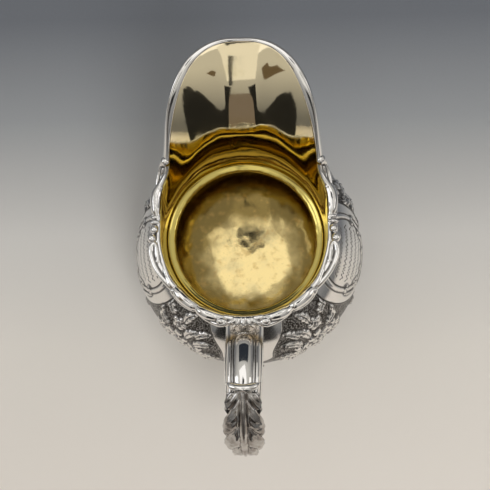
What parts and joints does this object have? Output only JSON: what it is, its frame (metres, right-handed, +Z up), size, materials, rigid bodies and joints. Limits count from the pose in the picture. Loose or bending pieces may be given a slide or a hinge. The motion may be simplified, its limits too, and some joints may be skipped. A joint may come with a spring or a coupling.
{
  "type": "cream jug",
  "caption": "Footed cream jug with a round chased bowl, a broad open spout, a cast scroll rim, a leaf-capped scroll handle and a gilt lining.",
  "frame": {"origin": "centre of the jug's bounding box in plan, on the surface that its feet stand on", "axes": "+Z up, +Y towards the spout, handle towards -Y, +X to the right of someone who holds the handle"},
  "size_m": [0.096, 0.1457, 0.121],
  "materials": {
    "polished_silver": "polished sterling silver, chased and lightly oxidised in the recesses",
    "cast_silver": "cast and burnished silver with darkened recesses",
    "gilt": "warm gilding over silver, polished, faintly stained inside the bowl"
  },
  "bodies": {
    "root": {"body_bowl": "polished_silver", "neck_and_spout": "polished_silver", "neck_joint_wire": "polished_silver", "spout_lip_wire": "polished_silver", "rim_back_leaf": "cast_silver", "rim_left_back_scroll": "cast_silver", "rim_left_rear_scroll": "cast_silver", "rim_left_quarter_scroll": "cast_silver", "rim_left_bead_cluster": "cast_silver", "rim_left_fore_scroll": "cast_silver", "rim_left_front_scroll": "cast_silver", "rim_right_back_scroll": "cast_silver", "rim_right_rear_scroll": "cast_silver", "rim_right_quarter_scroll": "cast_silver", "rim_right_bead_cluster": "cast_silver", "rim_right_fore_scroll": "cast_silver", "rim_right_front_scroll": "cast_silver", "handle_left_half": "cast_silver", "handle_right_half": "cast_silver", "handle_collar": "cast_silver", "handle_leaf_cap": "cast_silver", "handle_root_leaf": "cast_silver", "foot_front_right": "cast_silver", "foot_front_left": "cast_silver", "foot_back_left": "cast_silver", "foot_back_right": "cast_silver"}
  },
  "joints": []
}
